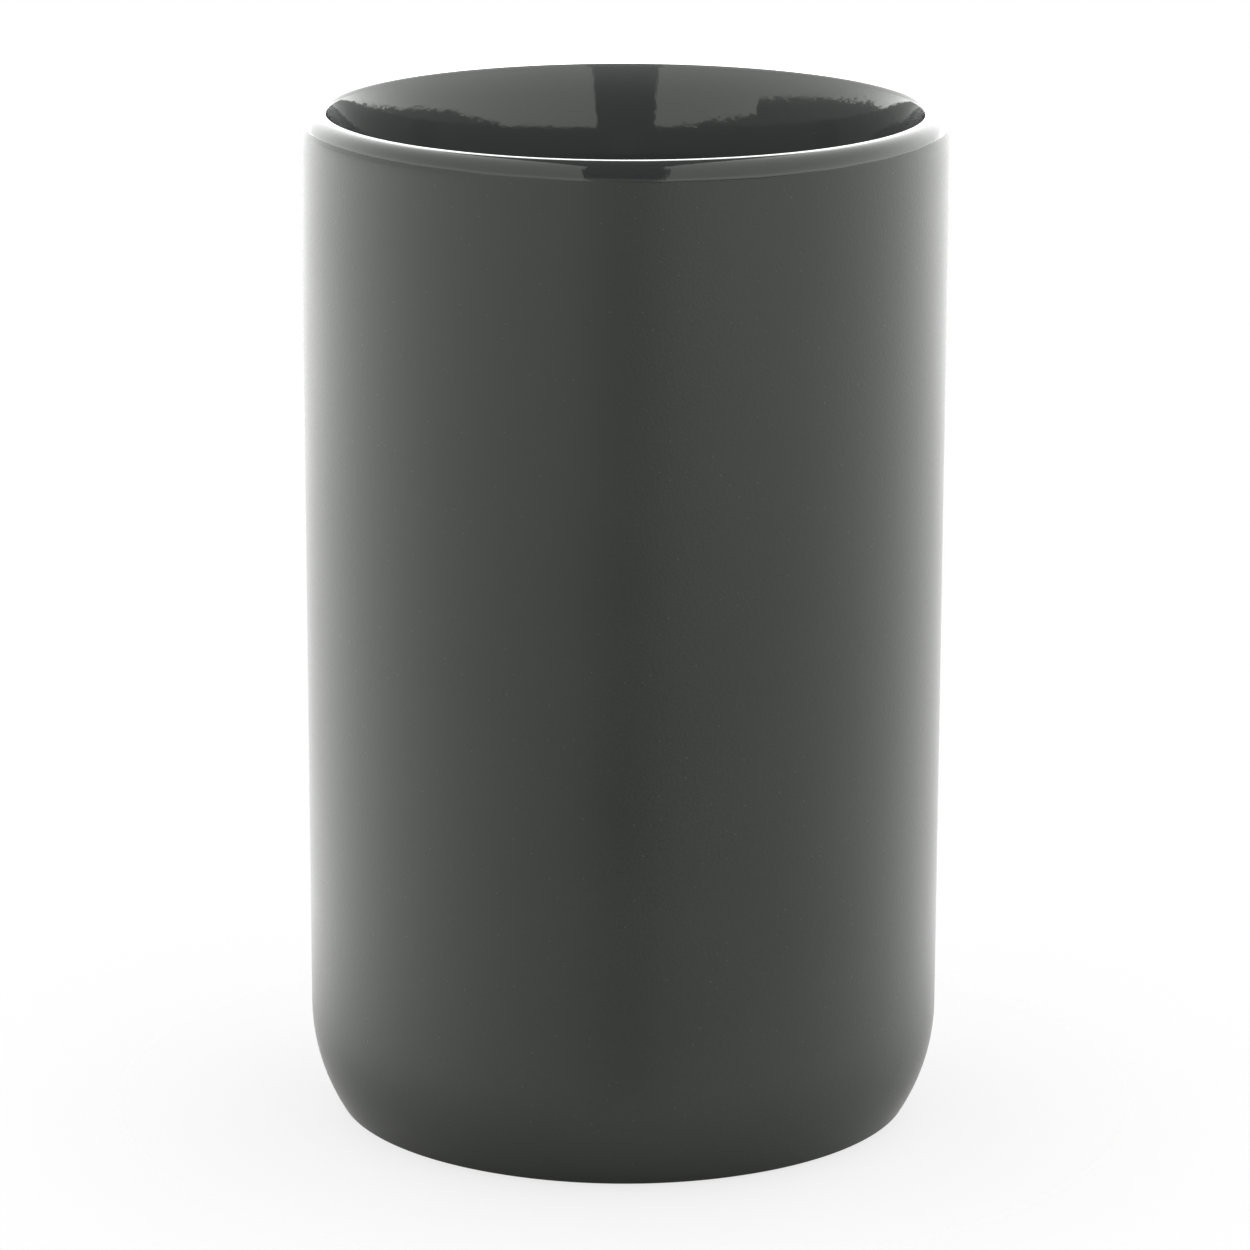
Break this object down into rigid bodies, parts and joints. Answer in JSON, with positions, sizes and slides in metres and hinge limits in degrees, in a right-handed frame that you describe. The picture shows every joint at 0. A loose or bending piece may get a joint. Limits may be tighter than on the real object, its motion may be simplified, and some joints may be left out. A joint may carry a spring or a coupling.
{
  "type": "bathroom tumbler",
  "caption": "Straight ceramic tumbler with a rounded lip and bottom corner, a dark matt outside, a gloss lining carried over the lip, and a bare foot ring.",
  "frame": {"origin": "centre of the bare foot ring, on the surface that the tumbler stands on", "axes": "+Z is the axis of the cup, up out of its mouth; the cup is round, so X and Y are free"},
  "size_m": [0.07, 0.07, 0.1115],
  "materials": {
    "bare_clay": "bare fired stoneware, fine and matt",
    "gloss_glaze": "dark grey gloss glaze, smooth with a slight waviness",
    "matt_glaze": "dark grey matt coat with a very fine grain",
    "underside_glaze": "dark grey matt coat"
  },
  "bodies": {
    "root": {"stoneware_body": "bare_clay", "gloss_glaze": "gloss_glaze", "matt_glaze": "matt_glaze", "underside_glaze": "underside_glaze"}
  },
  "joints": []
}
